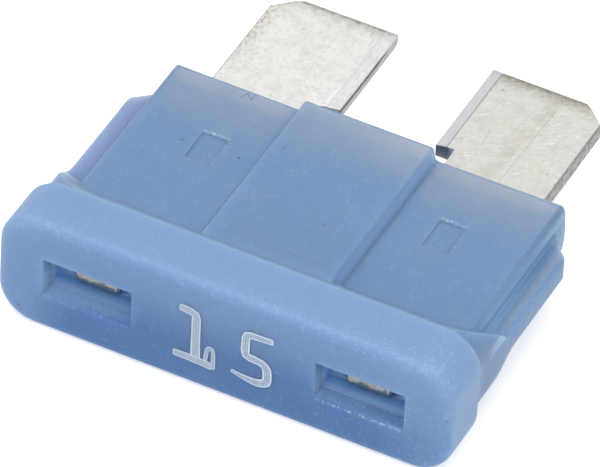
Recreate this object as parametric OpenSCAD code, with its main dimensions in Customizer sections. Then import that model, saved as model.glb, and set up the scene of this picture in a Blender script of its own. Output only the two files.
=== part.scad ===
// Automotive blade fuse, medium size, 15 ampere.
// A stamped element of two flat blades and a thin link sits in a one-piece moulded housing.
// X runs across the blades, Y from the head to the blade tips, Z through the thickness.

/* [Head] */
// Width of the head bar
head_w = 19.1; // [18.8:0.1:20.5]
// Thickness of the head bar
head_t = 5.2; // [4.9:0.1:5.8]
// Depth of the head bar, from its front face towards the blades
head_d = 2.7; // [2.5:0.05:3.2]
// Radius of the head bar's four corners, seen from the front
head_corner = 1.6; // [1.2:0.05:1.8]
// Radius of the head bar's front and back edges
head_edge = 0.42; // [0.2:0.02:0.5]

/* [Collar] */
// Width of the collar behind the head bar
collar_w = 18.74; // [18.6:0.02:18.78]
// Thickness of the collar
collar_t = 4.0; // [3.7:0.1:4.4]
// Depth of the collar's straight part
collar_d = 0.25; // [0.1:0.05:0.6]
// Radius of the collar's four corners, seen from the front
collar_corner = 1.4; // [0.9:0.05:1.6]
// Slope of the ramp from the collar down to the panels and wings, in degrees
ramp_angle = 41; // [38:1:55]
// Radius of the ramp's round top
ramp_top = 0.3; // [0.1:0.05:0.4]
// Radius of the ramp's hollow foot on the wings
ramp_foot = 1.1; // [0.6:0.1:1.6]
// Angle at which the ramp slants back at the collar's two ends, seen from above
end_slant = 16; // [0:1:30]
// Width of side panel over which the ramp already slants back
end_lead = 0.6; // [0.1:0.05:1]

/* [Body] */
// Length of the housing, from the head's front face to its mouth
body_len = 12.2; // [11.6:0.05:12.6]
// Width over the two side panels
panel_w = 16.74; // [16.2:0.02:16.9]
// Thickness over the two side panels
panel_t = 2.3; // [2.1:0.05:2.6]
// How far each side face leans out towards the parting plane
panel_draft = 0.12; // [0:0.02:0.2]
// Radius of the side panels' long edges
panel_edge = 0.28; // [0.1:0.02:0.4]
// Radius of the side panels' corners at the mouth, seen from above
mouth_corner = 0.3; // [0.1:0.05:0.6]
// Width of the raised centre panel at its face
centre_w = 5.55; // [5.2:0.05:6]
// Thickness over the two centre panels
centre_t = 3.46; // [3.1:0.02:3.6]
// How far each flank of the centre panel leans out towards its foot
centre_flare = 0.1; // [0:0.02:0.3]
// Radius of the centre panel's long edges
centre_edge = 0.14; // [0.06:0.02:0.2]

/* [Wings] */
// Width over the two wings
wing_w = 18.72; // [18.3:0.02:18.74]
// Thickness of a wing at its outer edge
wing_t = 0.92; // [0.7:0.02:1]
// Radius of a wing's outer edges
wing_edge = 0.14; // [0.1:0.02:0.3]
// Radius of a wing's outer corner, seen from above
wing_corner = 0.6; // [0.2:0.05:0.7]
// How far the wing's surface dips where it meets the side face
wing_dip = 0.13; // [0:0.01:0.18]
// Radius of the hollow between wing and side face
wing_hollow = 0.22; // [0.1:0.02:0.3]
// Distance from the mouth to where the wing meets the side face
wing_setback = 1; // [0.6:0.05:1.6]
// Length of the wing's slanting end
wing_slant = 1.05; // [0.5:0.05:1.4]

/* [Cavity] */
// Clearance over each face of the strip
face_clear = 0.06; // [0.04:0.01:0.12]
// Clearance beside each edge of the strip
edge_clear = 0.12; // [0.06:0.02:0.2]
// Wall above the centre chamber
chamber_wall = 0.55; // [0.45:0.05:0.7]
// Wall beside the centre chamber
chamber_side = 0.6; // [0.45:0.05:0.8]
// Wall between the chamber and the back of the head bar
chamber_head = 0.6; // [0.4:0.05:0.9]
// Lead-in of the mouth around the strip
mouth_lead = 0.18; // [0.05:0.01:0.25]

/* [Test windows] */
// Distance between the centres of the two windows
window_pitch = 11.45; // [11.3:0.05:11.6]
// Width of a window in the front face
window_w = 3.75; // [3.4:0.05:3.8]
// Height of a window in the front face
window_h = 1.74; // [1.5:0.02:1.9]
// Depth of a window's recess
window_d = 0.5; // [0.3:0.02:0.6]
// How far a window's upper and lower sides lean in at the recess's floor
window_lean = 0.3; // [0:0.02:0.34]
// How far a window's two short sides lean in at the recess's floor
window_side_lean = 0.12; // [0:0.02:0.16]
// Width of the probe's pocket in the recess's floor
probe_w = 3.4; // [3:0.05:3.45]
// Height of the probe's pocket
probe_h = 0.97; // [0.85:0.02:1.1]
// Depth of the probe's pocket below the front face
probe_d = 1.1; // [0.9:0.05:1.4]
// Width of the slot around the test tab, in the pocket's floor
tab_slot_w = 2.5; // [2.2:0.05:2.8]
// Radius of the slot's corners
tab_slot_r = 0.4; // [0.1:0.05:0.42]

/* [Stakes] */
// Distance between the centres of the two stakes
stake_pitch = 10.1; // [9.9:0.05:10.3]
// Distance from the mouth to a stake's centre
stake_setback = 3.78; // [3.3:0.05:4.2]
// Width of a stake's dimple in the panel
stake_w = 1.08; // [1:0.02:1.2]
// Length of a stake's dimple in the panel
stake_len = 1.65; // [1.55:0.05:1.75]
// Depth of a stake's dimple in the panel
stake_d = 0.09; // [0.06:0.01:0.2]
// Width of the peg that a stake presses through the blade
peg_w = 0.9; // [0.7:0.05:1]
// Length of the peg that a stake presses through the blade
peg_len = 1.4; // [1.1:0.05:1.5]
// Clearance around the plastic peg in the blade's hole
stake_clear = 0.1; // [0.06:0.02:0.14]

/* [Element] */
// Thickness of the strip
strip_t = 0.65; // [0.6:0.01:0.7]
// Length of the fuse from the head's front face to the blade tips
overall_len = 18.95; // [18.4:0.05:19.5]
// Width of a blade
blade_w = 5.1; // [4.95:0.05:5.25]
// Gap between the two blades
blade_gap = 4.1; // [4.02:0.02:4.3]
// Width of the cut corner at a blade's tip
tip_cut_w = 1.05; // [0.7:0.05:1.3]
// Length of the cut corner at a blade's tip
tip_cut_len = 1; // [0.6:0.02:1.3]
// Length of the thinned lead-in at a blade's tip
tip_lead_len = 0.32; // [0.15:0.01:0.5]
// Depth of the lead-in on each face of a blade's tip
tip_lead_d = 0.1; // [0.04:0.01:0.16]
// Width of the skived slope along a blade's inner edge
skive_w = 0.46; // [0.3:0.02:0.6]
// Depth of the skived slope at the inner edge
skive_d = 0.24; // [0.1:0.02:0.32]
// Distance from the mouth to the shoulder on a blade's inner edge
shoulder_out = 1.68; // [1.3:0.02:2]
// Depth of the shoulder, from the inner edge
shoulder_in = 0.8; // [0.5:0.02:0.95]
// Radius in the corner of the shoulder
shoulder_r = 0.38; // [0.2:0.02:0.48]
// Width of the test tab behind each window
tab_w = 1.75; // [1.6:0.05:1.95]
// Depth of the test tab's end below the head's front face
tab_depth = 0.85; // [0.7:0.05:1.2]
// Length of the test tab from its end to the blade
tab_len = 2.5; // [2.2:0.05:2.7]

/* [Link] */
// Thickness of the link, skived from the strip
link_t = 0.25; // [0.2:0.01:0.32]
// Width of the link
link_w = 0.8; // [0.6:0.05:0.9]
// Radius of the link's arch along its middle
link_r = 1.25; // [1.15:0.05:1.3]
// Distance from the mouth to the centre of the arch
link_arch = 6.3; // [6:0.05:6.6]
// Distance from the mouth to the middle of the link's feet
link_foot = 3.2; // [2.8:0.05:3.6]
// Diameter of the hole in the middle of the arch, where the link melts
link_hole = 0.42; // [0.3:0.02:0.48]

/* [Hidden] */
// Overshoot that lets a cut pass cleanly through a face, and a joined shape sink into its neighbour
cut = 0.5;
arc_steps = 6;
round_fn = 64;
corner_fn = 48;

// Places along Y, all from the head's front face
collar_y = head_d + collar_d;
shoulder_y = body_len + shoulder_out;
stake_y = body_len - stake_setback;
wing_y = body_len - wing_setback;
arch_y = body_len - link_arch;
foot_y = body_len - link_foot;
chamber_y = head_d + chamber_head;
tab_root_y = tab_depth + tab_len;
slot_y = tab_root_y - edge_clear;

// Places across X and Z, on the side where both are positive
blade_in = blade_gap / 2;
blade_out = blade_in + blade_w;
neck_in = blade_in + shoulder_in;
tab_x = window_pitch / 2;
stake_x = stake_pitch / 2;
strip_z = strip_t / 2;
slot_x = blade_out + edge_clear;
slot_z = strip_z + face_clear;
chamber_x = centre_w / 2 - chamber_side;
chamber_z = centre_t / 2 - chamber_wall;
panel_foot_x = panel_w / 2 + panel_draft;
wing_root_z = wing_t / 2 - wing_dip;

// Points of an arc around c, from angle a to angle b
function arc(c, r, a, b) = [for (i = [0:arc_steps])
    c + r * [cos(a + (b - a) * i / arc_steps), sin(a + (b - a) * i / arc_steps)]];

// An outline's right half, followed by its mirror image on the left
function with_left(right) = concat(right,
    [for (i = [len(right) - 1:-1:0]) [-right[i][0], right[i][1]]]);

// An outline's upper part, followed by its mirror image below
function with_lower(upper) = concat(upper,
    [for (i = [len(upper) - 1:-1:0]) [upper[i][0], -upper[i][1]]]);

// Runs a profile drawn in X and Z along Y, from y0 to y1
module along_y(y0, y1) {
    translate([0, y1, 0]) rotate([90, 0, 0]) linear_extrude(height = y1 - y0) children();
}

// Runs a profile drawn in Y and Z along X, from x0 to x1
module along_x(x0, x1) {
    translate([x0, 0, 0]) rotate([90, 0, 90]) linear_extrude(height = x1 - x0) children();
}

// Runs an outline drawn in X and Y through the thickness t, centred on the parting plane
module through_z(t) {
    translate([0, 0, -t / 2]) linear_extrude(height = t) children();
}

// Moves a finished node so that the origin lies under the middle of the fuse
module placed() {
    translate([0, -overall_len / 2, head_t / 2]) children();
}

// A block between two corners
module block(low, high) {
    translate(low) cube(high - low);
}

// What is drawn on the right, and its mirror image on the left
module both_sides() {
    children();
    mirror([1, 0, 0]) children();
}

// What is drawn above the parting plane, and its mirror image below
module both_faces() {
    children();
    mirror([0, 0, 1]) children();
}

// A rectangle with round corners, centred
module round_rect(w, h, r) {
    square([w - 2 * r, h], center = true);
    square([w, h - 2 * r], center = true);
    for (x = [-1, 1], y = [-1, 1])
        translate([x * (w / 2 - r), y * (h / 2 - r)]) circle(r, $fn = round_fn);
}

// The head bar, with round corners and round front and back edges
module head_bar() {
    rim = head_corner - head_edge;
    hull() for (x = [-1, 1], z = [-1, 1])
        translate([x * (head_w / 2 - head_corner), 0, z * (head_t / 2 - head_corner)])
            rotate([-90, 0, 0]) rotate_extrude($fn = corner_fn)
                polygon(concat([[0, 0]], arc([rim, head_edge], head_edge, -90, 0),
                    arc([rim, head_d - head_edge], head_edge, 0, 90), [[0, head_d]]));
}

// Side view of the collar and its ramp, down to the wings
module ramp_profile() {
    foot_z = wing_root_z;
    top_z = collar_t / 2 - ramp_top;
    drop = top_z + ramp_top * cos(ramp_angle) - foot_z - ramp_foot * (1 - cos(ramp_angle));
    foot_centre = collar_y + ramp_top * sin(ramp_angle) + drop / tan(ramp_angle)
        + ramp_foot * sin(ramp_angle);
    polygon(with_lower(concat([[0, collar_t / 2]],
        arc([collar_y, top_z], ramp_top, 90, 90 - ramp_angle),
        arc([foot_centre, foot_z + ramp_foot], ramp_foot, 270 - ramp_angle, 270))));
}

// The collar behind the head bar, sloping down to the panels and, slanting back, to the wings
module collar() {
    slant_x = panel_w / 2 - end_lead;
    lean = tan(end_slant);
    intersection() {
        along_y(head_d - cut, wing_y) round_rect(collar_w, collar_t, collar_corner);
        union() {
            along_x(-slant_x, slant_x) ramp_profile();
            both_sides() multmatrix([[1, 0, 0, 0], [lean, 1, 0, -lean * slant_x], [0, 0, 1, 0]])
                along_x(slant_x - cut, collar_w / 2 + cut) ramp_profile();
        }
    }
}

// Section through the two side panels and their leaning side faces
module panel_section() {
    corner = [panel_w / 2 - panel_edge, panel_t / 2 - panel_edge];
    polygon(with_left(concat(arc(corner, panel_edge, 90, 0), [[panel_foot_x, 0]],
        arc([corner[0], -corner[1]], panel_edge, 0, -90))));
}

// Section through the raised centre panels and their flared flanks
module centre_section() {
    flank = centre_w / 2 + centre_flare;
    corner = [centre_w / 2 - centre_edge, centre_t / 2 - centre_edge];
    polygon(with_left(concat(arc(corner, centre_edge, 90, 0),
        [[flank, panel_t / 2], [flank, -panel_t / 2]],
        arc([corner[0], -corner[1]], centre_edge, 0, -90))));
}

// The flat body, with round corners at the mouth
module body() {
    mouth = [panel_foot_x - mouth_corner, body_len - mouth_corner];
    intersection() {
        along_y(head_d - cut, body_len) {
            panel_section();
            centre_section();
        }
        through_z(head_t) polygon(with_left(concat([[panel_foot_x, 0]],
            arc(mouth, mouth_corner, 0, 90))));
    }
}

// Section through the right wing, hollowed where it meets the side face
module wing_section() {
    hollow_z = wing_root_z + wing_hollow;
    edge = [wing_w / 2 - wing_edge, wing_t / 2 - wing_edge];
    polygon(with_lower(concat([[panel_foot_x - cut, hollow_z]],
        arc([panel_foot_x + wing_hollow, hollow_z], wing_hollow, 180, 270),
        arc(edge, wing_edge, 90, 0))));
}

// The right wing, with its slanting end and round corner
module wing() {
    reach = wing_w / 2 - panel_foot_x;
    facing = atan2(reach, wing_slant);
    corner_y = wing_y - (wing_corner - (wing_corner - reach) * cos(facing)) / sin(facing);
    intersection() {
        along_y(head_d - cut, wing_y) wing_section();
        through_z(panel_t) polygon(concat([[panel_foot_x - cut, head_d - cut], [wing_w / 2, head_d - cut]],
            arc([wing_w / 2 - wing_corner, corner_y], wing_corner, 0, facing),
            [[panel_foot_x, wing_y], [panel_foot_x - cut, wing_y]]));
    }
}

// The inside of the housing: the strip's slot, its flared mouth and the link's chamber
module cavity() {
    block([-slot_x, slot_y, -slot_z], [slot_x, body_len + cut, slot_z]);
    block([-chamber_x, chamber_y, -chamber_z], [chamber_x, body_len + cut, chamber_z]);
    along_x(-slot_x, slot_x) polygon(with_lower([[body_len - mouth_lead, slot_z],
        [body_len, slot_z + mouth_lead], [body_len + cut, slot_z + mouth_lead]]));
}

// The right test window: a leaning recess, the probe's pocket and the slot around the test tab
module test_window() {
    floor_size = [window_w - 2 * window_side_lean, window_h - 2 * window_lean];
    hull() {
        along_y(-cut, 0) translate([tab_x, 0]) square([window_w, window_h], center = true);
        along_y(0, window_d) translate([tab_x, 0]) square(floor_size, center = true);
    }
    block([tab_x - probe_w / 2, -cut, -probe_h / 2], [tab_x + probe_w / 2, probe_d, probe_h / 2]);
    along_y(0, slot_y + cut) translate([tab_x, 0]) round_rect(tab_slot_w, probe_h, tab_slot_r);
}

// The dimple that the staking punch leaves in the upper right panel
module stake_dimple() {
    block([stake_x - stake_w / 2, stake_y - stake_len / 2, panel_t / 2 - stake_d],
        [stake_x + stake_w / 2, stake_y + stake_len / 2, panel_t / 2 + cut]);
}

// The plastic peg that the stakes press through the right blade
module stake_peg() {
    block([stake_x - peg_w / 2, stake_y - peg_len / 2, -slot_z - face_clear],
        [stake_x + peg_w / 2, stake_y + peg_len / 2, slot_z + face_clear]);
}

module housing() {
    color([0.5, 0.62, 0.8]) placed() {
        difference() {
            union() {
                head_bar();
                collar();
                body();
                both_sides() wing();
            }
            cavity();
            both_sides() test_window();
            both_sides() both_faces() stake_dimple();
        }
        both_sides() stake_peg();
    }
}

// Outline of the right blade, its neck inside the housing and its test tab
module blade_outline() {
    fillet = [neck_in - shoulder_r, shoulder_y - shoulder_r];
    polygon(concat([[blade_in, shoulder_y], [blade_in, overall_len],
        [blade_out - tip_cut_w, overall_len], [blade_out, overall_len - tip_cut_len],
        [blade_out, tab_root_y], [tab_x + tab_w / 2, tab_root_y], [tab_x + tab_w / 2, tab_depth],
        [tab_x - tab_w / 2, tab_depth], [tab_x - tab_w / 2, tab_root_y], [neck_in, tab_root_y]],
        arc(fillet, shoulder_r, 0, 90)));
}

// Section of the strip across the right blade, skived along its inner edge
module blade_section() {
    polygon([[blade_in, -strip_z], [blade_out, -strip_z], [blade_out, strip_z],
        [blade_in + skive_w, strip_z], [blade_in, strip_z - skive_d]]);
}

// Side view of the strip, thinned at the blade's tip
module tip_profile() {
    polygon(with_lower([[0, strip_z], [overall_len - tip_lead_len, strip_z],
        [overall_len, strip_z - tip_lead_d]]));
}

// The right blade, with the hole for the stake's peg
module blade() {
    difference() {
        intersection() {
            through_z(strip_t) blade_outline();
            along_y(0, overall_len) blade_section();
            along_x(blade_in, blade_out) tip_profile();
        }
        block([stake_x - peg_w / 2 - stake_clear, stake_y - peg_len / 2 - stake_clear, -strip_t],
            [stake_x + peg_w / 2 + stake_clear, stake_y + peg_len / 2 + stake_clear, strip_t]);
    }
}

// The thin link that arches towards the head between the two necks
module link() {
    translate([0, 0, -strip_z]) linear_extrude(height = link_t) difference() {
        union() {
            intersection() {
                translate([0, arch_y]) difference() {
                    circle(link_r + link_w / 2, $fn = round_fn);
                    circle(link_r - link_w / 2, $fn = round_fn);
                }
                translate([-neck_in, 0]) square([2 * neck_in, arch_y]);
            }
            for (side = [-1, 1]) {
                translate([side * link_r - link_w / 2, arch_y])
                    square([link_w, foot_y - arch_y + link_w / 2]);
                translate([side > 0 ? link_r : -neck_in - cut, foot_y - link_w / 2])
                    square([neck_in + cut - link_r, link_w]);
            }
        }
        translate([0, arch_y - link_r]) circle(d = link_hole, $fn = round_fn);
    }
}

module fuse_element() {
    color([0.86, 0.86, 0.84]) placed() {
        both_sides() blade();
        link();
    }
}

housing();
fuse_element();
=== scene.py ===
"""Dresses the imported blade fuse: housing, element, printed rating, floor, light and camera."""

import math
from functools import cached_property

import bmesh
import bpy
from mathutils import Matrix, Vector
from mathutils.kdtree import KDTree


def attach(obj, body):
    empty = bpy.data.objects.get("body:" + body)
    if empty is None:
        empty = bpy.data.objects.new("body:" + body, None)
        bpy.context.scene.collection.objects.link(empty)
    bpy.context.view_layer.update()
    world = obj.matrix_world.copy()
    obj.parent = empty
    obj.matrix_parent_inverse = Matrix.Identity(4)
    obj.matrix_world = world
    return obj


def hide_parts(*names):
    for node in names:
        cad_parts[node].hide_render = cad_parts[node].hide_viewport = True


bl_info = {
    "name": "Blade Fuse Looks",
    "version": (1, 0, 0),
    "blender": (4, 5, 0),
    "location": "View3D > Sidebar > Blade Fuse",
    "description": "Dresses an automotive blade fuse: frosted housing, tinned element and printed rating",
    "category": "Object",
}

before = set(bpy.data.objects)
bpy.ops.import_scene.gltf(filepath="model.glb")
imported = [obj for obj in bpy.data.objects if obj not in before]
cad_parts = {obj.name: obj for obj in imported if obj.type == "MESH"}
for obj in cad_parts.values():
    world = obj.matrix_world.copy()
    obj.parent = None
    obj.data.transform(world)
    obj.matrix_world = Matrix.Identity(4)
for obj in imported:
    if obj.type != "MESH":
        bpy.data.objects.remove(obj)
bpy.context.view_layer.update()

MM = 0.001
# Corners nearer than this length, in metres, are one; faces below this area, in square metres, have no side
SLIVER = 1e-6
NO_AREA = 1e-13
# Two faces are folded back on each other where the product of their normals is below this
FOLD = -0.2
# Faces that meet at less than the first angle are merged, and at less than the second shade as one
FLAT_DEG = 0.4
SMOOTH_DEG = 40
# In widths of the bevel: how near a fold an edge stays sharp, and how short the edges are that go first
NEAR_FOLD = 1.6
SHORT_EDGE = 4
# Pieces of an edge at whose ends its distance from a fold is taken
EDGE_STEPS = 8

# Places in millimetres, x from the middle line, y from the head's front face and z from the parting plane.
# The middle of the fuse lies half its length behind that face and its mid height above the floor
HALF_LENGTH = 9.475
MID_HEIGHT = 2.6
WINDOW_X = 5.725
STAKE_X = 5.05
STAKE_Y = 8.42
MOUTH_Y = 12.18
# The tops of the side panels, the middle panel and the blades
SIDE_TOP = 1.15
MIDDLE_TOP = 1.73
BLADE_TOP = 0.32
# The blades' inner and outer edges, and where the lead-in at the tips starts and ends
BLADE_IN = 2.05
BLADE_OUT = 7.12
LEAD_Y = 18.63
TIP_Y = 18.95
# The skived slope on a blade's inner edge: how far out it reaches, how deep the CAD cuts it, the share of
# that depth that is filled, and the depth that is left at the tips
SKIVED_X = 2.51
SKIVED_DEPTH = 0.24
SKIVED_FILL = 0.58
TIP_DEPTH = 0.09
# The round corner of the hollow at the left blade's root lies beyond this x, between these two y
HOLLOW_X = -2.3
HOLLOW_Y = (13.5, 13.9)

# Zones of the housing, each as the places where its mask is 0 and 1: two along x, two along y, one along z
RIGHT = (-1.0, 1.0)
LEFT = (1.0, -1.0)
FRONT = (0.35, 0.02)
BEHIND = (3.3, 4.2)
TOPS = (1.0, 1.1)

# The corners of a hairline mark on the left panel: x and y
HAIRLINE = ((-5.28, 11.66), (-5.11, 12.0), (-4.82, 11.73), (-4.82, 12.21), (-4.57, 12.26))
# Dark specks on the housing and on the blades: x, y, z and radius
HOUSING_SPECKS = (
    (-6.08, 8.38, SIDE_TOP, 0.045), (-3.71, 8.53, SIDE_TOP, 0.04), (9.31, 0.1, 0.39, 0.04),
    (-8.59, 0.0, -1.82, 0.035), (-2.2, 9.3, MIDDLE_TOP, 0.02), (1.1, 6.2, MIDDLE_TOP, 0.02),
)
BLADE_SPECKS = ((2.95, 17.93, BLADE_TOP, 0.05), (6.56, 14.38, BLADE_TOP, 0.03), (2.8, 14.6, 0.3, 0.03))
# Scratches on the blades: start and end in x and y, half the width, and strength
SCRATCHES = (
    ((5.3, 18.51), (5.14, 13.19), 0.012, 0.4),
    ((5.06, 18.37), (4.94, 15.3), 0.01, 0.3),
    ((3.55, 15.6), (3.6, 14.9), 0.03, 0.35),
    ((4.5, 17.2), (4.3, 14.8), 0.02, 0.25),
    ((-4.0, 17.8), (-4.1, 15.0), 0.01, 0.2),
)

# The strokes of the rating's digits on the front face: x, z and half the width
STROKES = (
    ((-1.65, 1.17, 0.17), (-1.09, 1.10, 0.19), (-1.09, 0.04, 0.19), (-1.07, -1.18, 0.21)),
    ((-1.86, -1.19, 0.16), (-1.16, -1.18, 0.17), (-0.5, -1.24, 0.17)),
    ((-0.32, -1.26, 0.09), (-0.32, -0.5, 0.085), (-0.39, -0.36, 0.085), (-0.51, -0.35, 0.085),
     (-0.6, -0.48, 0.085), (-0.65, -1.0, 0.08)),
    ((2.0, 1.11, 0.14), (1.52, 1.08, 0.14), (1.0, 1.06, 0.17), (0.98, -0.04, 0.18),
     (1.72, -0.11, 0.17), (1.94, -0.34, 0.19), (1.95, -1.06, 0.19), (1.46, -1.21, 0.17),
     (0.91, -1.14, 0.11), (0.5, -1.05, 0.07)),
)
# The attribute that is 1 at a stroke's rim, and its values at places across a stroke from -1 to 1
OUTLINE = "outline"
BAND = ((-1.0, 1.0), (-0.76, 0.9), (-0.55, 0.0), (-0.28, 0.55), (0.0, 0.05),
        (0.3, 0.55), (0.56, 0.0), (0.78, 0.9), (1.0, 1.0))
# A stroke's round end, in half widths: how far past the end, how wide, and the attribute's least value
CAPS = ((0.62, 0.96, 0.3), (0.92, 0.66, 1.0))
# The largest share of a stroke's piece that a cut corner takes
CORNER_SHARE = 0.45

WHITE = (1.0, 1.0, 1.0)
# In metres: half the floor's side, and the place and the side of the square light
FLOOR_REACH = 1.5
LAMP_PLACE = (0.03, -0.08, 0.28)
LAMP_SIDE = 0.3
# The camera's sensor in millimetres, the nearest and farthest that it sees in metres
SENSOR = 36
CLIP = (0.01, 10)
# A point on the fuse, and how far left of it and below it the picture's middle lies, in millimetres
SEEN_POINT = (0, 9, 0)
SEEN_SHIFT = (1.1450, 1.0640)


def at(x, y, z):
    """A point measured in millimetres from the head's front face and the parting plane."""
    return Vector((x, y - HALF_LENGTH, z + MID_HEIGHT)) * MM


# Shader nodes


class Value:
    """A socket of a node tree, with Python's operators as Math nodes."""

    def __init__(self, nodes, socket):
        self.nodes, self.socket = nodes, socket

    def output(self, name):
        """Another output of the same node."""
        return Value(self.nodes, self.socket.node.outputs[name])

    def math(self, operation, *others):
        return self.nodes.node("ShaderNodeMath", {"operation": operation}, self, *others)

    def __add__(self, other):
        return self.math("ADD", other)

    def __sub__(self, other):
        return self.math("SUBTRACT", other)

    def __mul__(self, other):
        return self.math("MULTIPLY", other)

    def __radd__(self, other):
        return self.math("ADD", other)

    def __rmul__(self, other):
        return self.math("MULTIPLY", other)

    def __rsub__(self, other):
        return self.nodes.node("ShaderNodeMath", {"operation": "SUBTRACT"}, other, self)

    def __abs__(self):
        return self.math("ABSOLUTE")

    def least(self, other):
        return self.math("MINIMUM", other)

    def most(self, other):
        return self.math("MAXIMUM", other)

    def over(self, low, high):
        """0 below low, 1 above high, and smooth between; high may be the smaller."""
        return self.nodes.node("ShaderNodeMapRange", {"interpolation_type": "SMOOTHSTEP"},
                               self, low, high, 0.0, 1.0)

    def near(self, middle, reach, soft):
        """1 within reach of the middle, fading to 0 over the soft width."""
        return abs(self - middle).over(reach + soft, reach)

    def line(self, other, start, end, width, soft):
        """1 on the line between two points of the plane that self and other span, fading to 0 beside it."""
        step = (end[0] - start[0], end[1] - start[1])
        length = math.hypot(*step)
        u, v = self - start[0], other - start[1]
        along = (u * step[0] + v * step[1]) * (1 / length)
        beside = abs(v * step[0] - u * step[1]) * (1 / length)
        return beside.over(width + soft, width) * along.near(length / 2, length / 2, soft)


class Nodes:
    """The nodes of a material or a world."""

    def __init__(self, owner):
        owner.use_nodes = True
        self.tree = owner.node_tree

    def put(self, socket, value):
        """Links a socket to a value, or sets it to a number, a vector or an opaque colour."""
        if isinstance(value, Value):
            self.tree.links.new(value.socket, socket)
        elif socket.type == "RGBA":
            socket.default_value = (*value, 1.0)
        else:
            socket.default_value = value

    def node(self, kind, settings, *values, **named):
        """Adds a node: first its settings, then the sockets these leave in use, in order or by name."""
        new = self.tree.nodes.new(kind)
        for key, value in settings.items():
            setattr(new, key, value)
        for socket, value in zip([socket for socket in new.inputs if socket.enabled], values):
            self.put(socket, value)
        for key, value in named.items():
            self.put(new.inputs[key], value)
        return Value(self, next(socket for socket in new.outputs if socket.enabled))

    def in_sight(self):
        """1 where the camera looks, straight, in a reflection or through something, and 0 for light."""
        path = self.node("ShaderNodeLightPath", {})
        straight, mirrored, through = (path.output(f"Is {kind} Ray")
                                       for kind in ("Camera", "Glossy", "Transmission"))
        return (straight + mirrored + through).least(1.0)


class Finish(Nodes):
    """A procedural material on Object coordinates, whose colour is painted on coat by coat."""

    def __init__(self, name):
        self.material = bpy.data.materials.new(name)
        super().__init__(self.material)
        self.shader = self.tree.nodes["Principled BSDF"]
        self.colour = WHITE
        # Millimetres from the middle line, the head's front face and the parting plane
        self.mm = self.node("ShaderNodeVectorMath", {"operation": "MULTIPLY_ADD"},
                            self.node("ShaderNodeTexCoord", {}).output("Object"),
                            (1 / MM, 1 / MM, 1 / MM), (0.0, HALF_LENGTH, -MID_HEIGHT))
        split = self.node("ShaderNodeSeparateXYZ", {}, self.mm)
        self.x, self.y, self.z = (split.output(axis) for axis in "XYZ")

    @cached_property
    def side(self):
        """The distance from the middle line to either side."""
        return abs(self.x)

    def noise(self, size, detail=2.0, rough=0.5, place=None, stretch=None):
        """Noise from 0 to 1, whose features are about size millimetres across."""
        where = place or self.mm
        if stretch:
            where = self.node("ShaderNodeVectorMath", {"operation": "MULTIPLY"}, where, stretch)
        return self.node("ShaderNodeTexNoise", {}, where, 1 / size, detail, rough)

    def specks(self, size, share, seed=0.0):
        """Small round spots on a share of the cells of a random grid, from 0 to 1."""
        where = self.node("ShaderNodeVectorMath", {"operation": "ADD"},
                          self.mm, (seed, seed * 0.7, seed * 1.3))
        distance = self.node("ShaderNodeTexVoronoi", {}, where, 1 / size)
        draw = self.node("ShaderNodeSeparateColor", {}, distance.output("Color"))
        return draw.over(1 - share, 1 - share * 0.6) * distance.over(0.42, 0.12)

    def spot(self, middle, reach, soft):
        """1 around a point given in millimetres, fading to 0 over the soft width."""
        away = self.node("ShaderNodeVectorMath", {"operation": "DISTANCE"}, self.mm, middle)
        return away.over(reach + soft, reach)

    def tint(self, mask, without, with_):
        """A colour that goes from one to the other as the mask rises."""
        return self.node("ShaderNodeMix", {"data_type": "RGBA"}, mask, without, with_)

    def paint(self, mask, colour):
        """Lays a coat over the finish's colour, thicker as the mask rises."""
        self.colour = self.tint(mask, self.colour, colour)

    def bump(self, height, depth):
        """A bump of the given depth in millimetres, for the shader's Normal."""
        return self.node("ShaderNodeBump", {}, Distance=depth * MM, Height=height)

    def set(self, **values):
        """Sets or links the shader's sockets, and returns the material."""
        for key, value in values.items():
            self.put(self.shader.inputs[key.replace("_", " ")], value)
        return self.material


# Meshes


def new_piece(name, mesh, material, replaces=()):
    """Links a finished mesh as a piece of the fuse."""
    piece = bpy.data.objects.new(name, mesh)
    bpy.context.scene.collection.objects.link(piece)
    mesh.materials.clear()
    mesh.materials.append(material)
    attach(piece, "root")
    if replaces:
        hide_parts(*replaces)
    return piece


def even_shading(piece):
    """Lets the large faces set the normals, so that they shade flat up to their rounded edges."""
    even = piece.modifiers.new("even_shading", "WEIGHTED_NORMAL")
    even.mode, even.keep_sharp = "FACE_AREA", True


def split_large_faces(shape):
    """Cuts the faces that have more than four corners into triangles."""
    bmesh.ops.triangulate(shape, faces=[face for face in shape.faces if len(face.verts) > 4])


def folded_corners(shape):
    """The ends of the edges whose two faces are folded back on each other."""
    shape.normal_update()
    return [vert.co.copy() for edge in shape.edges if len(edge.link_faces) == 2
            and min(face.calc_area() for face in edge.link_faces) > NO_AREA
            and edge.link_faces[0].normal.dot(edge.link_faces[1].normal) < FOLD for vert in edge.verts]


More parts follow.
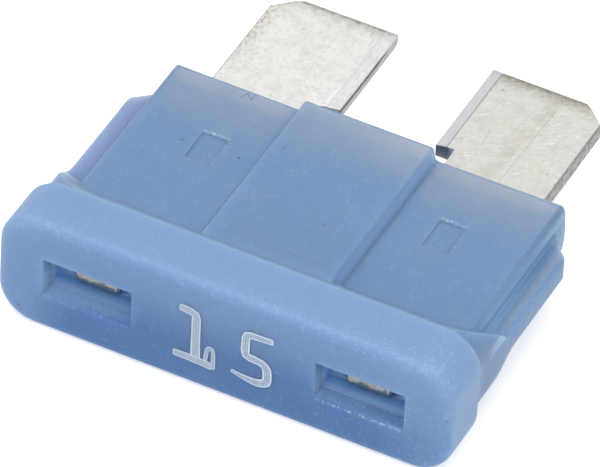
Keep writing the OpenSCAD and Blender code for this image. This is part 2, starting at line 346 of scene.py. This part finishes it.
def rounded_edges(shape, width, segments, sharp_deg):
    """A copy of the shape with its sharp edges rounded, except those beside which the bevel would fold."""
    sharp = [edge.index for edge in shape.edges
             if len(edge.link_faces) == 2 and edge.calc_face_angle() > math.radians(sharp_deg)]
    plain = shape.copy()
    split_large_faces(plain)
    folds_before = len(folded_corners(plain))
    plain.free()
    while True:
        rounded = shape.copy()
        rounded.edges.ensure_lookup_table()
        bmesh.ops.bevel(rounded, geom=[rounded.edges[index] for index in sharp], offset=width,
                        offset_type="OFFSET", affect="EDGES", segments=segments, profile=0.5, material=-1,
                        clamp_overlap=False, miter_outer="ARC")
        bmesh.ops.dissolve_degenerate(rounded, dist=SLIVER, edges=rounded.edges)
        split_large_faces(rounded)
        folds = folded_corners(rounded)
        if len(folds) <= folds_before or not sharp:
            return rounded
        rounded.free()
        near = KDTree(len(folds))
        for index, corner in enumerate(folds):
            near.insert(corner, index)
        near.balance()
        shape.edges.ensure_lookup_table()
        apart = {}
        for index in sharp:
            start, end = (vert.co for vert in shape.edges[index].verts)
            apart[index] = min(near.find(start.lerp(end, step / EDGE_STEPS))[2]
                               for step in range(EDGE_STEPS + 1))
        beside = ([index for index in sharp if apart[index] < NEAR_FOLD * width]
                  or [min(apart, key=apart.get)])
        short = [index for index in beside if shape.edges[index].calc_length() < SHORT_EDGE * width]
        left_sharp = set(short or beside)
        sharp = [index for index in sharp if index not in left_sharp]


def truer_blades(shape):
    """Fills the skived slopes, mostly at the tips, and halves the corner of the left blade's hollow."""
    bmesh.ops.bisect_plane(shape, geom=shape.verts[:] + shape.edges[:] + shape.faces[:], dist=SLIVER,
                           plane_co=at(0, LEAD_Y, 0), plane_no=(0, 1, 0))
    for vert in shape.verts:
        x, y, z = vert.co / MM
        y, z = y + HALF_LENGTH, z - MID_HEIGHT
        depth = SKIVED_DEPTH * (SKIVED_X - abs(x)) / (SKIVED_X - BLADE_IN)
        # The upper side of a slope: past the mouth, above the strip's middle, and deeper than a hair
        if y > 13 and z > 0.05 and depth > 0.005:
            rise = depth - TIP_DEPTH if y > LEAD_Y + 0.1 else depth * SKIVED_FILL
            vert.co.z += max(rise, 0) * MM
        if x < HOLLOW_X and HOLLOW_Y[0] < y < HOLLOW_Y[1]:
            vert.co.y -= (y - HOLLOW_Y[0]) / 2 * MM
    shape.normal_update()


def softened_copy(node, width, segments, sharp_deg, reshape=None):
    """A merged copy of a node's mesh whose sharp edges are rounded."""
    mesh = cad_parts[node].data.copy()
    shape = bmesh.new()
    shape.from_mesh(mesh)
    bmesh.ops.remove_doubles(shape, verts=shape.verts, dist=SLIVER)
    bmesh.ops.dissolve_limit(shape, angle_limit=math.radians(FLAT_DEG),
                             verts=shape.verts, edges=shape.edges)
    if reshape:
        reshape(shape)
    shape.edges.index_update()
    soft = rounded_edges(shape, width * MM, segments, sharp_deg)
    soft.to_mesh(mesh)
    shape.free()
    soft.free()
    mesh.shade_smooth()
    mesh.set_sharp_from_angle(angle=math.radians(SMOOTH_DEG))
    return mesh


def rounded_line(points, cut):
    """A line whose corners are cut by short curves. Each point is x, z and half a width."""
    points = [Vector(point) for point in points]
    line = [points[0]]
    for before, corner, after in zip(points, points[1:], points[2:]):
        start = corner.lerp(before, min(cut / (before - corner).length, CORNER_SHARE))
        end = corner.lerp(after, min(cut / (after - corner).length, CORNER_SHARE))
        line += [start, start.lerp(corner, 0.5).lerp(corner.lerp(end, 0.5), 0.5), end]
    return line + [points[-1]]


def brush_stroke(shape, points, cut, lift):
    """Sweeps a flat band with round ends along points of the front face, with its outline attribute."""
    outline = shape.verts.layers.float[OUTLINE]
    line = rounded_line(points, cut)
    rows = []
    for index, point in enumerate(line):
        ahead = (line[min(index + 1, len(line) - 1)].xy - line[max(index - 1, 0)].xy).normalized()
        rows.append((point.xy, ahead, point.z, 0.0))
    for end, way in ((0, -1), (-1, 1)):
        middle, ahead, half, _ = rows[end]
        for reach, width, rim in CAPS:
            cap = (middle + ahead * way * half * reach, ahead, half * width, rim)
            rows.insert(0 if way < 0 else len(rows), cap)
    band = []
    for middle, ahead, half, rim in rows:
        across = Vector((-ahead.y, ahead.x))
        if not band:
            band = [shape.verts.new() for _ in BAND]
            links = [shape.edges.new(pair) for pair in zip(band, band[1:])]
        else:
            grown = bmesh.ops.extrude_edge_only(shape, edges=links)["geom"]
            fresh = [part for part in grown if isinstance(part, bmesh.types.BMVert)]
            band = [min(fresh, key=lambda vert: (vert.co - old.co).length) for old in band]
            links = [part for part in grown if isinstance(part, bmesh.types.BMEdge)
                     and all(vert in fresh for vert in part.verts)]
        for vert, (place, value) in zip(band, BAND):
            spot = middle + across * half * place
            vert.co = at(spot.x, -lift, spot.y)
            vert[outline] = max(value, rim)


def rating_mesh(sizes):
    """The two digits of the rating, printed on the front face as raised strokes."""
    shape = bmesh.new()
    shape.verts.layers.float.new(OUTLINE)
    for index, points in enumerate(STROKES):
        brush_stroke(shape, points, sizes.corner, sizes.thickness + index * sizes.overlap)
    bmesh.ops.recalc_face_normals(shape, faces=shape.faces)
    bmesh.ops.reverse_faces(shape, faces=[face for face in shape.faces if face.normal.y > 0])
    bmesh.ops.solidify(shape, geom=shape.faces, thickness=(sizes.thickness + sizes.sink) * MM)
    mesh = bpy.data.meshes.new("rating")
    shape.to_mesh(mesh)
    shape.free()
    return mesh


# Sizes and colours


class HousingSizes(bpy.types.PropertyGroup):
    """Sizes and colours of the moulded housing."""

    edge: bpy.props.FloatProperty(
        name="Edge radius", description="Radius of the moulding's sharp edges, in millimetres",
        default=0.1, min=0.01, max=0.14)
    colour: bpy.props.FloatVectorProperty(
        name="Colour", description="Colour of the frosted plastic",
        subtype="COLOR", size=3, default=(0.212, 0.355, 0.604), min=0, max=1)
    body: bpy.props.FloatVectorProperty(
        name="Body colour", description="Colour of the plastic behind the head",
        subtype="COLOR", size=3, default=(0.165, 0.285, 0.49), min=0, max=1)
    deep: bpy.props.FloatVectorProperty(
        name="Deeper colour", description="Colour of the front's shaded middle",
        subtype="COLOR", size=3, default=(0.075, 0.195, 0.45), min=0, max=1)
    pale: bpy.props.FloatVectorProperty(
        name="Paler colour", description="Colour where metal lies behind the plastic",
        subtype="COLOR", size=3, default=(0.29, 0.365, 0.47), min=0, max=1)
    grain: bpy.props.FloatProperty(
        name="Grain depth", description="Depth of the fine moulded grain, in millimetres",
        default=0.012, min=0, max=0.05)


class ElementSizes(bpy.types.PropertyGroup):
    """Sizes and colours of the stamped element."""

    edge: bpy.props.FloatProperty(
        name="Edge radius", description="Radius of the strip's cut edges, in millimetres",
        default=0.035, min=0.005, max=0.08)
    colour: bpy.props.FloatVectorProperty(
        name="Tin colour", description="Colour of the tin plating",
        subtype="COLOR", size=3, default=(0.82, 0.82, 0.805), min=0, max=1)
    stain: bpy.props.FloatVectorProperty(
        name="Stain colour", description="Colour of the stain along the blade tips",
        subtype="COLOR", size=3, default=(0.3, 0.28, 0.21), min=0, max=1)


class RatingSizes(bpy.types.PropertyGroup):
    """Sizes of the printed rating."""

    thickness: bpy.props.FloatProperty(
        name="Thickness", description="Height of the print above the face, in millimetres",
        default=0.015, min=0.002, max=0.05)
    overlap: bpy.props.FloatProperty(
        name="Overlap", description="Height that each stroke adds to the last, in millimetres",
        default=0.003, min=0.001, max=0.01)
    sink: bpy.props.FloatProperty(
        name="Sink", description="Depth of the print's back in the face, in millimetres",
        default=0.02, min=0.001, max=0.05)
    corner: bpy.props.FloatProperty(
        name="Corner", description="Length by which a stroke's corners are cut, in millimetres",
        default=0.2, min=0.02, max=0.3)


class StageSizes(bpy.types.PropertyGroup):
    """Floor, light and camera."""

    floor: bpy.props.FloatVectorProperty(
        name="Floor colour", description="Colour of the floor",
        subtype="COLOR", size=3, default=(0.9, 0.9, 0.9), min=0, max=1)
    key: bpy.props.FloatProperty(
        name="Key light", description="Radiance of the soft light overhead", default=2.0, min=0)
    sky: bpy.props.FloatProperty(
        name="Surrounding light", description="Strength of the light from all around", default=0.55, min=0)
    lift: bpy.props.FloatProperty(
        name="Floor whiteness", description="Light that only the camera sees on the floor",
        default=0.5, min=0)
    turn: bpy.props.FloatProperty(
        name="View turn", description="Turn of the camera about the vertical",
        subtype="ANGLE", default=math.radians(24.668))
    height: bpy.props.FloatProperty(
        name="View height", description="Angle of the camera above the floor",
        subtype="ANGLE", default=math.radians(42.090))
    roll: bpy.props.FloatProperty(
        name="View roll", description="Roll of the camera about its axis",
        subtype="ANGLE", default=math.radians(3.369))
    distance: bpy.props.FloatProperty(
        name="View distance", description="Distance of the camera from the fuse",
        unit="LENGTH", default=0.34011)
    lens: bpy.props.FloatProperty(
        name="Lens", description="Focal length of the camera, in millimetres", default=536.6)


# The housing's finish


def paint_head(f, sizes):
    """The ramp behind the head, the painted shade on the front face, and the painted light and shade inside
    the windows.
    """
    x, y, z, side = f.x, f.y, f.z, f.side
    # The ramp is a touch lighter than the body
    ramp = y.over(2.75, 3.0) * y.over(4.1, 3.6) * z.over(*TOPS) * side.over(8.6, 7.8)
    f.paint(ramp * 0.08, (0.27, 0.43, 0.69))
    # Painted shade: the front face darkens towards its lower middle, where less light reaches it
    middle = side.over(9.4, 4.5)
    shade = z.over(2.1, -1.9) * (0.5 + middle * 0.55) * x.over(-9.6, -6.5).most(0.4) + middle * 0.22
    f.paint((y.over(*FRONT) * shade).least(1.0), sizes.deep)
    # Painted light: the pockets are lightened as if light came through from behind. Painted shade: the
    # ledges before them and the left walls are darker
    pocket_light = (side.near(WINDOW_X, 1.75, 0.1) * abs(z).near(0.0, 0.55, 0.05)
              * y.over(0.5, 0.56) * y.over(1.6, 1.2))
    f.paint(pocket_light * 0.9, (0.28, 0.5, 0.8))
    ledge_shade = (side.near(WINDOW_X, 1.9, 0.1) * abs(z).near(0.0, 0.9, 0.05)
             * y.over(0.06, 0.14) * y.over(0.5, 0.44))
    f.paint(ledge_shade * (0.35 + x.over(*RIGHT) * 0.55), (0.07, 0.2, 0.42))
    wall_shade = ((x.near(-7.5, 0.1, 0.06) + x.near(3.95, 0.1, 0.06)) * abs(z).near(0.0, 0.8, 0.1)
            * y.over(0.02, 0.06) * y.over(0.55, 0.45))
    f.paint(wall_shade.least(1.0) * 0.55, (0.13, 0.26, 0.46))


def paint_panels(f, sizes):
    """The panels, paler where metal lies behind the plastic, with a painted glow inside the mouth, painted
    light on their flanks and outer walls, and painted shade in lines along their edges.
    """
    x, y, z, side = f.x, f.y, f.z, f.side
    cloud = f.noise(2.4)
    mouth = y.over(8.6, 11.6) * (1 - side.near(2.95, 0.1, 0.3) * 0.5) * side.over(8.5, 7.6)
    f.paint(mouth * (0.62 + (cloud - 0.5) * 0.9), sizes.pale)
    # A painted glow, paler over the metal, in a band just inside the mouth
    glow = y.near(11.72, 0.1, 0.45) * (0.3 + f.noise(1.6, 1.0).over(0.3, 0.6) * 0.7)
    f.paint(glow * mouth * 0.6, (0.38, 0.42, 0.5))
    f.paint((cloud - 0.5).most(0.0) * 0.35, sizes.pale)
    # Darker towards the head on the right, paler at the right of the middle panel's mouth
    dim = y.over(7.5, 4.8) * y.over(3.4, 4.0) * x.over(-3.0, 0.0) * z.over(*TOPS)
    f.paint(dim * 0.2, (0.1, 0.18, 0.33))
    f.paint(f.spot((1.9, 11.4, MIDDLE_TOP), 0.3, 1.3) * 0.25, (0.37, 0.43, 0.51))
    # Painted light on the flanks between the panels and on the side panels' outer walls, and painted shade
    # in deeper lines along the panels' edges and feet and at the mouth, where the light runs along the
    # edges
    behind = y.over(*BEHIND)
    flank_light = side.near(2.88, 0.1, 0.03) * z.over(1.14, 1.24) * z.over(1.7, 1.6) * behind
    f.paint(flank_light * 0.75, (0.3, 0.46, 0.7))
    outer = side.over(8.33, 8.4) * z.over(0.62, 0.72) * z.over(1.1, 1.0) * behind
    f.paint(outer * 0.8, (0.3, 0.45, 0.68))
    lines = (y.near(MOUTH_Y, 0.05, 0.13)
             + side.near(2.74, 0.02, 0.12) * z.over(1.5, 1.6) * behind * 0.28
             + side.near(2.93, 0.04, 0.12) * z.over(1.24, 1.16) * z.over(0.9, 1.1) * behind * 0.45
             + side.near(8.33, 0.03, 0.25) * z.over(0.95, 1.1) * behind * 0.4)
    f.paint(lines.least(0.92), (0.09, 0.19, 0.33))


def paint_wings(f):
    """The wings: paler on the left, and on the right grey with painted light in the groove and a dark edge.
    """
    x, y, z, side = f.x, f.y, f.z, f.side
    right = x.over(*RIGHT)
    wing = side.over(8.55, 8.75) * z.over(0.0, 0.3) * y.over(4.7, 6.3)
    # Painted light: the groove between the right side panel and the wing is lightened
    groove = side.near(8.52, 0.1, 0.12) * z.over(0.72, 0.62) * z.over(-0.3, 0.0) * y.over(*BEHIND) * right
    f.paint(groove * 0.6, (0.21, 0.41, 0.63))
    f.paint(side.near(8.95, 0.12, 0.2) * wing * right * 0.7, (0.25, 0.325, 0.43))
    f.paint(wing * x.over(*LEFT) * 0.6, (0.29, 0.36, 0.57))
    f.paint(side.over(9.05, 9.2) * wing * right * 0.35, (0.12, 0.22, 0.38))


def paint_marks(f):
    """The stake marks, with a painted highlight, partly burr, along the far edge and painted shade along
    the right and near edges, and the hairline.
    """
    x, y, z = f.x, f.y, f.z
    top = z.over(*TOPS)
    for middle in (-STAKE_X, STAKE_X):
        u, v = x - middle, y - STAKE_Y
        inside = abs(u).over(0.7, 0.6) * abs(v).over(1.0, 0.9) * top
        # Painted shade along the right and near walls of each mark
        dark = (u.near(0.52, 0.02, 0.06) * v.near(0.0, 0.8, 0.1) * 0.6
                + v.near(-0.82, 0.02, 0.06) * u.near(0.0, 0.5, 0.1) * 0.4).least(0.8)
        f.paint(dark * inside, (0.08, 0.17, 0.32))
        # A painted highlight, partly burr, speckled along the far edge
        bright = v.near(0.88, 0.03, 0.07) * u.near(0.0, 0.5, 0.15) * f.noise(0.1, 2.0, 0.6).over(0.4, 0.6)
        f.paint(bright * top * 0.5, (0.6, 0.74, 0.9))
    for start, end in zip(HAIRLINE, HAIRLINE[1:]):
        f.paint(x.line(y, start, end, 0.008, 0.035) * z.over(1.0, 1.05) * 0.6, (0.07, 0.11, 0.2))


def paint_grain(f):
    """White grain and dust, thicker along the front edge of the head's top, where it is partly a painted
    highlight, and at its right end.
    """
    x, y, z = f.x, f.y, f.z
    front = y.over(*FRONT)
    # Along the head top's front edge the grain is partly a painted highlight on the rounded edge
    rim = z.over(1.6, 2.4) * y.over(1.9, 0.1)
    zone = (0.3 + rim * 0.45 + x.over(4.0, 8.5) * y.over(3.4, 2.4) * 0.3
            + z.over(-1.2, -2.2) * front * 0.2 - front * 0.2)
    fine = f.noise(0.09, 3.0, 0.6).over(0.5, 0.75) * (0.4 + f.noise(0.7, 2.0, 0.6).over(0.35, 0.65) * 0.6)
    f.paint(fine * zone * 0.6, (0.48, 0.62, 0.83))
    crumbs = (f.noise(0.2, 3.0, 0.7).over(0.52, 0.7)
              * (x.over(2.5, 7.5) * y.over(3.0, 1.5) * 0.55 + rim * 0.45))
    f.paint(crumbs.least(1.0) * 0.38, (0.42, 0.57, 0.8))
    worms = (f.noise(0.32, 1.0).near(0.5, 0.012, 0.03)
             * f.noise(0.5, 2.0, 0.6, stretch=(1.3, 0.8, 1.0)).over(0.5, 0.62))
    f.paint(worms * (0.12 + rim * 0.1), (0.42, 0.56, 0.78))
    flecks = f.specks(0.1, 0.04) * (zone - 0.1) * 0.14
    f.paint(flecks.least(1.0), (0.7, 0.8, 0.92))
    dust = (f.specks(0.1, 0.16, 5.0) * front * (x.over(2.0, 4.0) * 0.32 + x.over(-3.0, -4.5) * 0.1)
            * z.over(-0.9, -1.25))
    f.paint(dust, (0.62, 0.75, 0.92))
    # A painted highlight, speckled white, along the lower lips of the windows, and single dark specks
    lip_highlight = z.near(-0.9, 0.03, 0.06) * y.over(0.06, 0.02) * f.side.near(5.72, 1.75, 0.1)
    strong = x.over(*RIGHT) * 0.35 + 0.15
    f.paint(lip_highlight * f.noise(0.12, 2.0, 0.6).over(0.46, 0.62) * strong, (0.6, 0.74, 0.9))
    for *place, reach in HOUSING_SPECKS:
        f.paint(f.spot(place, reach, 0.05) * 0.6, (0.05, 0.08, 0.13))


def frosted_plastic(sizes):
    """Translucent blue plastic with a frosted, slightly grainy surface."""
    f = Finish("frosted_blue_plastic")
    f.colour = f.tint(f.y.over(2.3, 3.5), sizes.colour, sizes.body)
    paint_head(f, sizes)
    paint_panels(f, sizes)
    paint_wings(f)
    paint_marks(f)
    paint_grain(f)
    grain = f.noise(0.13, 3.0, 0.65) * 0.6 + f.noise(0.45) * 0.4
    return f.set(Base_Color=f.colour, Roughness=0.5, Normal=f.bump(grain, sizes.grain),
                 Subsurface_Weight=0.85, Subsurface_Radius=(1.0, 1.0, 1.0), Subsurface_Scale=1.5 * MM,
                 Specular_IOR_Level=0.4, IOR=1.58)


# The element's finish


def paint_plating(f, right, mottle, pits, patches):
    """Mottling, pits, slanting brush marks in light and dark, and warmer patches."""
    x, y = f.x, f.y
    f.paint(mottle.over(0.42, 0.7) * 0.4, (0.56, 0.55, 0.51))
    f.paint(pits.over(0.5, 0.72) * 0.45, (0.5, 0.495, 0.46))
    f.paint(pits.over(0.45, 0.27) * (0.5 - right * 0.2), (0.97, 0.97, 0.95))
    slant = math.radians(38)
    along = x * math.cos(slant) + y * math.sin(slant)
    across = y * math.cos(slant) - x * math.sin(slant)
    turned = f.node("ShaderNodeCombineXYZ", {}, along, across, f.z)
    marks = f.noise(0.09, 3.0, 0.65, place=turned, stretch=(0.22, 1.0, 1.0))
    patchy = 0.3 + patches * 0.7
    f.paint(marks.over(0.54, 0.72) * (0.2 + right * 0.3) * patchy, (0.47, 0.465, 0.43))
    f.paint(marks.over(0.43, 0.28) * (0.25 + right * 0.45) * patchy, (1.0, 1.0, 0.98))
    band = x.line(y, (5.1, 18.4), (4.55, 13.2), 0.04, 0.4) * f.noise(0.5, 3.0, 0.6).over(0.3, 0.6)
    f.paint(band * 0.35, (0.5, 0.47, 0.34))
    f.paint(f.noise(0.9, 3.0, 0.6, stretch=(1.0, 0.6, 1.0)).over(0.5, 0.72) * 0.3, (0.7, 0.66, 0.56))


def paint_stains(f, sizes, right, pits, top):
    """Olive stain along the tips and the left blade's outer edge, darkest at the very edge, where a thin
    line is partly stain and partly painted shade, and nicks.
    """
    x, y, side = f.x, f.y, f.side
    ragged = f.noise(0.22, 4.0, 0.7)
    tip = (y + (ragged - 0.5) * 1.3).over(17.9, 19.1)
    edge = (x + (0.5 - ragged) * 1.2).over(-6.3, -7.1) * y.over(13.0, 16.0)
    f.paint((tip * (0.55 + right * 0.35)).least(0.9), sizes.stain)
    f.paint(edge * (0.15 + pits.over(0.42, 0.62) * 0.55), (0.42, 0.36, 0.24))
    torn_tip = (y + (f.noise(0.3, 4.0, 0.75) - 0.5) * 0.9).over(18.62, 18.82) * top
    f.paint(torn_tip * (0.4 + pits.over(0.35, 0.6) * 0.45), (0.2, 0.19, 0.155))
    dots = f.specks(0.15, 0.3, 3.0) * side.near(2.8, 0.12, 0.22) * (1 - right) * top * y.over(13.2, 13.8)
    f.paint(dots.least(1.0) * 0.45, (0.36, 0.355, 0.34))
    # A thin dark line along the outer edges and the tips: partly stain, partly painted shade on the rounded
    # edge
    rim = side.near(BLADE_OUT, 0.02, 0.05) * (0.35 + right * 0.65) + y.near(TIP_Y, 0.03, 0.08)
    f.paint(rim.least(1.0) * top * (0.35 + pits * 0.65), (0.22, 0.21, 0.19))
    nicks = f.specks(0.12, 0.25) * side.near(7.0, 0.06, 0.1) * top
    f.paint(nicks.least(1.0) * 0.6, (0.25, 0.23, 0.19))


def paint_scratches(f, brushed):
    """Fine scratches along the blades, and single dark specks."""
    f.paint(brushed.over(0.6, 0.78) * 0.22, (0.5, 0.49, 0.45))
    for start, end, width, depth in SCRATCHES:
        faint = f.noise(0.4, 2.0, 0.6).over(0.3, 0.55) * depth
        f.paint(f.x.line(f.y, start, end, width, 0.03) * faint, (0.4, 0.37, 0.3))
    for *place, reach in BLADE_SPECKS:
        f.paint(f.spot(place, reach, 0.06) * 0.5, (0.3, 0.27, 0.22))


def paint_slopes(f, right, mottle, pits, patches, top):
    """The skived slopes with a thin dark line along their border, and the left blade's dark inner side."""
    x, y, z, side = f.x, f.y, f.z, f.side
    blade = y.over(13.4, 13.7)
    slope = f.tint(right, (0.72, 0.73, 0.75), (0.6, 0.62, 0.66))
    f.paint(side.over(2.54, 2.5) * blade * (0.25 + mottle * 0.3 + right * 0.4), slope)
    ground = (f.noise(0.06, 2.0, 0.6, stretch=(1.0, 0.1, 1.0)).over(0.46, 0.7)
              * x.over(-3.0, -2.6) * (1 - right) * patches)
    f.paint(ground * blade * y.over(18.8, 18.0) * 0.5, (0.4, 0.4, 0.42))
    border = side.near(2.52, 0.012, 0.03) * top * blade * (0.2 + right * 0.5) * (0.5 + pits)
    f.paint(border, (0.25, 0.245, 0.23))
    inner = side.over(2.09, 2.06) * z.over(0.22, 0.16) * (1 - right) * blade
    f.paint(inner * 0.65, (0.26, 0.265, 0.28))
    streaks = f.noise(0.12, 3.0, 0.7, stretch=(1.0, 0.12, 1.0))
    crack = (z + (streaks - 0.5) * 0.3).near(0.07, 0.05, 0.05) * y.over(18.2, 17.4)
    f.paint(inner * crack, (0.02, 0.022, 0.025))


def paint_cut_sides(f, right):
    """The cut sides, darker with painted shade and a painted reflection of the blue housing in the shoulder
    that faces it, and the torn ends of the test tabs, painted dark blue below as the slot's shade.
    """
    y, z, side = f.y, f.z, f.side
    cut = side.over(7.11, 7.13)
    f.paint(cut * (0.5 + f.noise(0.2, 3.0, 0.7).over(0.35, 0.6) * 0.5), (0.2, 0.2, 0.2))
    # Painted shade and a painted reflection of the blue housing on the shoulder that faces it; on the left
    # only below the strip's middle
    shoulder = y.over(13.93, 13.87) * side.over(2.89, 2.83) * y.over(12.0, 12.4)
    f.paint(shoulder * (right * 0.92 + (1 - right) * z.over(-0.05, -0.2) * 0.85), (0.11, 0.17, 0.25))
    tab = y.over(1.0, 0.9)
    f.paint(tab, (0.5, 0.48, 0.41))
    f.paint(tab * f.noise(0.16, 3.0, 0.7).over(0.45, 0.65) * 0.7, (0.2, 0.22, 0.18))
    # Below its ragged, torn edge each tab is painted dark blue, as painted shade in the slot past its end
    torn = (z + (f.noise(0.35, 2.0, 0.6) - 0.5) * 0.7).over(-0.02, -0.22) * tab
    f.paint(torn * 0.9, (0.06, 0.12, 0.2))


def tin_plate(sizes):
    """Dull tin plating with mottling, stains, scratches and dark cut sides, and painted shade on the
    shoulders, the tabs' ends and along the edges.
    """
    f = Finish("tin_plating")
    right = f.x.over(-0.5, 0.5)
    top = f.z.over(0.2, 0.3)
    mottle = f.noise(0.55, 4.0, 0.62)
    pits = f.noise(0.16, 3.0, 0.7, stretch=(1.0, 0.7, 1.0))
    patches = f.noise(1.1, 3.0, 0.6).over(0.35, 0.62)
    brushed = f.noise(0.05, 2.0, 0.7, stretch=(1.0, 0.05, 1.0))
    f.colour = f.tint(right, sizes.colour, (0.69, 0.69, 0.655))
    paint_plating(f, right, mottle, pits, patches)
    paint_stains(f, sizes, right, pits, top)
    paint_scratches(f, brushed)
    paint_slopes(f, right, mottle, pits, patches, top)
    paint_cut_sides(f, right)
    height = brushed * 0.3 + pits * 0.4 + mottle * 0.3
    return f.set(Base_Color=f.colour, Roughness=0.46 + (mottle - 0.5) * 0.25, Metallic=0.55,
                 Normal=f.bump(height, 0.016))


def print_ink():
    """Milky white print whose outlines are lighter than its middle, from the strokes' own attribute."""
    f = Finish("white_print")
    edge = f.node("ShaderNodeAttribute", {"attribute_name": OUTLINE}).output("Fac")
    streak = f.noise(0.11, 3.0, 0.7)
    f.colour = f.tint((edge + (streak - 0.5) * 1.1).over(0.2, 0.8), (0.31, 0.41, 0.56), (0.74, 0.83, 0.93))
    f.paint(streak.over(0.5, 0.7) * 0.5, (0.4, 0.5, 0.64))
    f.paint(f.x.over(0.0, -0.2) * 0.35, (0.42, 0.5, 0.62))
    return f.set(Base_Color=f.colour, Roughness=0.55)


class FUSE_OT_housing(bpy.types.Operator):
    """Dress the moulded housing"""

    bl_idname = "fuse.housing"
    bl_label = "Housing"

    def execute(self, context):
        sizes = context.scene.fuse_housing
        mesh = softened_copy("housing", sizes.edge, segments=3, sharp_deg=38)
        piece = new_piece("moulded_housing", mesh, frosted_plastic(sizes),
                          replaces=("housing",))
        even_shading(piece)
        return {"FINISHED"}


class FUSE_OT_element(bpy.types.Operator):
    """Dress the stamped fuse element"""

    bl_idname = "fuse.element"
    bl_label = "Element"

    def execute(self, context):
        sizes = context.scene.fuse_element
        mesh = softened_copy("fuse_element", sizes.edge, segments=2, sharp_deg=30, reshape=truer_blades)
        piece = new_piece("stamped_element", mesh, tin_plate(sizes),
                          replaces=("fuse_element",))
        even_shading(piece)
        return {"FINISHED"}


class FUSE_OT_rating(bpy.types.Operator):
    """Print the rating on the front face"""

    bl_idname = "fuse.rating"
    bl_label = "Rating"

    def execute(self, context):
        new_piece("printed_rating", rating_mesh(context.scene.fuse_rating), print_ink())
        return {"FINISHED"}


# The stage


def pale_floor(sizes):
    """A wide floor that looks white to the camera and keeps the fuse's shadow."""
    shape = bmesh.new()
    bmesh.ops.create_grid(shape, x_segments=1, y_segments=1, size=FLOOR_REACH)
    mesh = bpy.data.meshes.new("floor")
    shape.to_mesh(mesh)
    shape.free()
    floor = bpy.data.objects.new("floor", mesh)
    bpy.context.scene.collection.objects.link(floor)
    f = Finish("pale_floor")
    mesh.materials.append(f.set(Base_Color=sizes.floor, Roughness=0.8, Emission_Color=WHITE,
                                Emission_Strength=f.in_sight() * sizes.lift))


def soft_surroundings(sizes):
    """Even light from all around, which the camera sees as white."""
    world = bpy.data.worlds.new("soft_surroundings")
    bpy.context.scene.world = world
    sky = Nodes(world)
    back = sky.tree.nodes["Background"].inputs
    sky.put(back["Color"], WHITE)
    sky.put(back["Strength"], sky.in_sight() * (1 - sizes.sky) + sizes.sky)


def soft_light(name, place, aim, width, depth, radiance):
    """A flat soft light that faces its aim. Its power follows from its size and radiance."""
    data = bpy.data.lights.new(name, "AREA")
    data.shape, data.size, data.size_y = "RECTANGLE", width, depth
    data.energy = radiance * math.pi * width * depth
    lamp = bpy.data.objects.new(name, data)
    lamp.location = place
    lamp.rotation_euler = (Vector(place) - Vector(aim)).to_track_quat("Z", "Y").to_euler()
    bpy.context.scene.collection.objects.link(lamp)


def look_from(turn, height, roll):
    """The axes of a camera that looks down from a height, turned about the vertical and rolled."""
    back = Vector((math.sin(turn) * math.cos(height), -math.cos(turn) * math.cos(height), math.sin(height)))
    right = Vector((math.cos(turn), math.sin(turn), 0))
    up = back.cross(right)
    return Matrix((math.cos(roll) * right + math.sin(roll) * up,
                   math.cos(roll) * up - math.sin(roll) * right, back)).transposed()


def picture_camera(sizes):
    """The camera of the picture, aimed by where a point on the fuse shows in it."""
    axes = look_from(sizes.turn, sizes.height, sizes.roll)
    aim = at(*SEEN_POINT) - axes.col[0] * SEEN_SHIFT[0] * MM - axes.col[1] * SEEN_SHIFT[1] * MM
    lens = bpy.data.cameras.new("camera")
    lens.lens, lens.sensor_width = sizes.lens, SENSOR
    lens.clip_start, lens.clip_end = CLIP
    camera = bpy.data.objects.new("camera", lens)
    camera.matrix_world = Matrix.Translation(aim + axes.col[2] * sizes.distance) @ axes.to_4x4()
    bpy.context.scene.collection.objects.link(camera)
    bpy.context.scene.camera = camera


class FUSE_OT_stage(bpy.types.Operator):
    """Set up the floor, the light and the camera"""

    bl_idname = "fuse.stage"
    bl_label = "Stage"

    def execute(self, context):
        sizes = context.scene.fuse_stage
        pale_floor(sizes)
        soft_surroundings(sizes)
        soft_light("overhead", LAMP_PLACE, (0, 0, 0), LAMP_SIDE, LAMP_SIDE, sizes.key)
        context.scene.view_settings.view_transform = "Standard"
        picture_camera(sizes)
        return {"FINISHED"}


class FUSE_PT_looks(bpy.types.Panel):
    """The fuse's pieces and stage in the sidebar"""

    bl_idname = "FUSE_PT_looks"
    bl_label = "Blade Fuse"
    bl_space_type = "VIEW_3D"
    bl_region_type = "UI"
    bl_category = "Blade Fuse"

    def draw(self, context):
        for operator in OPERATORS:
            self.layout.operator(operator.bl_idname)


OPERATORS = (FUSE_OT_housing, FUSE_OT_element, FUSE_OT_rating, FUSE_OT_stage)
GROUPS = {"fuse_housing": HousingSizes, "fuse_element": ElementSizes, "fuse_rating": RatingSizes,
          "fuse_stage": StageSizes}
CLASSES = (*GROUPS.values(), *OPERATORS, FUSE_PT_looks)


def register():
    for cls in CLASSES:
        bpy.utils.register_class(cls)
    for name, group in GROUPS.items():
        setattr(bpy.types.Scene, name, bpy.props.PointerProperty(type=group))


def unregister():
    for name in GROUPS:
        delattr(bpy.types.Scene, name)
    for cls in reversed(CLASSES):
        bpy.utils.unregister_class(cls)


def main():
    register()
    bpy.ops.fuse.housing()
    bpy.ops.fuse.element()
    bpy.ops.fuse.rating()
    bpy.ops.fuse.stage()


if __name__ == "__main__":
    main()
